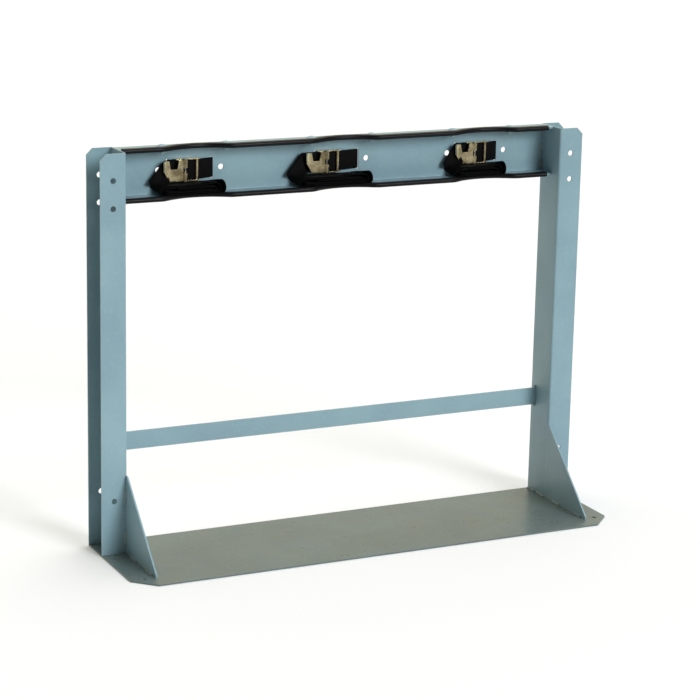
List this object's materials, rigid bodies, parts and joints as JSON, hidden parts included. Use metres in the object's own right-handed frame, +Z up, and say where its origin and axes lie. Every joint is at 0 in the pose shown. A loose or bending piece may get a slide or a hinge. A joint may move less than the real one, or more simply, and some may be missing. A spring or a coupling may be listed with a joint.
{
  "type": "gas cylinder stand",
  "caption": "Free-standing painted steel rack that holds gas cylinders upright in a row, with scalloped rubber-edged rail and cam-buckle straps.",
  "frame": {"origin": "on the floor, under the middle of the stand's overall box", "axes": "+X to the right along the rail, +Y to the rear (wall side), +Z up"},
  "size_m": [1.016, 0.267, 0.7728],
  "materials": {
    "frame_paint": "semi-gloss blue-grey enamel on sheet steel",
    "edge_rubber": "satin black extruded rubber",
    "webbing": "woven black webbing",
    "buckle_zinc": "bright zinc plate",
    "spring_steel": "drawn spring wire"
  },
  "bodies": {
    "frame": {"base_plate": "frame_paint", "left_upright": "frame_paint", "right_upright": "frame_paint", "left_gusset": "frame_paint", "right_gusset": "frame_paint", "strap_rail": "frame_paint", "lower_rail": "frame_paint", "top_edge_trim": "edge_rubber", "bottom_edge_trim": "edge_rubber", "rail_bolts": "frame_paint", "rail_nuts": "frame_paint", "base_welds": "frame_paint", "gusset_welds": "frame_paint", "rail_welds": "frame_paint", "bar_welds": "frame_paint", "left_strap": "webbing", "left_buckle_frame": "buckle_zinc", "left_guide_bar": "buckle_zinc", "left_cam_pin": "buckle_zinc", "middle_strap": "webbing", "middle_buckle_frame": "buckle_zinc", "middle_guide_bar": "buckle_zinc", "middle_cam_pin": "buckle_zinc", "right_strap": "webbing", "right_buckle_frame": "buckle_zinc", "right_guide_bar": "buckle_zinc", "right_cam_pin": "buckle_zinc"},
    "left_lever": {"left_cam_lever": "buckle_zinc", "left_cam_spring": "spring_steel"},
    "middle_lever": {"middle_cam_lever": "buckle_zinc", "middle_cam_spring": "spring_steel"},
    "right_lever": {"right_cam_lever": "buckle_zinc", "right_cam_spring": "spring_steel"}
  },
  "joints": [
    {"name": "left_lever_hinge", "type": "hinge", "parent": "frame", "child": "left_lever", "pos_m": [-0.3208, 0.1122, 0.72], "axis": [0, 0, 1], "range_deg": [0, 60], "stiffness_Nm_per_rad": 0.6, "springref_deg": -28.65},
    {"name": "middle_lever_hinge", "type": "hinge", "parent": "frame", "child": "middle_lever", "pos_m": [-0.029, 0.1122, 0.72], "axis": [0, 0, 1], "range_deg": [0, 60], "stiffness_Nm_per_rad": 0.6, "springref_deg": -28.65},
    {"name": "right_lever_hinge", "type": "hinge", "parent": "frame", "child": "right_lever", "pos_m": [0.2938, 0.1122, 0.72], "axis": [0, 0, 1], "range_deg": [0, 60], "stiffness_Nm_per_rad": 0.6, "springref_deg": -28.65}
  ]
}
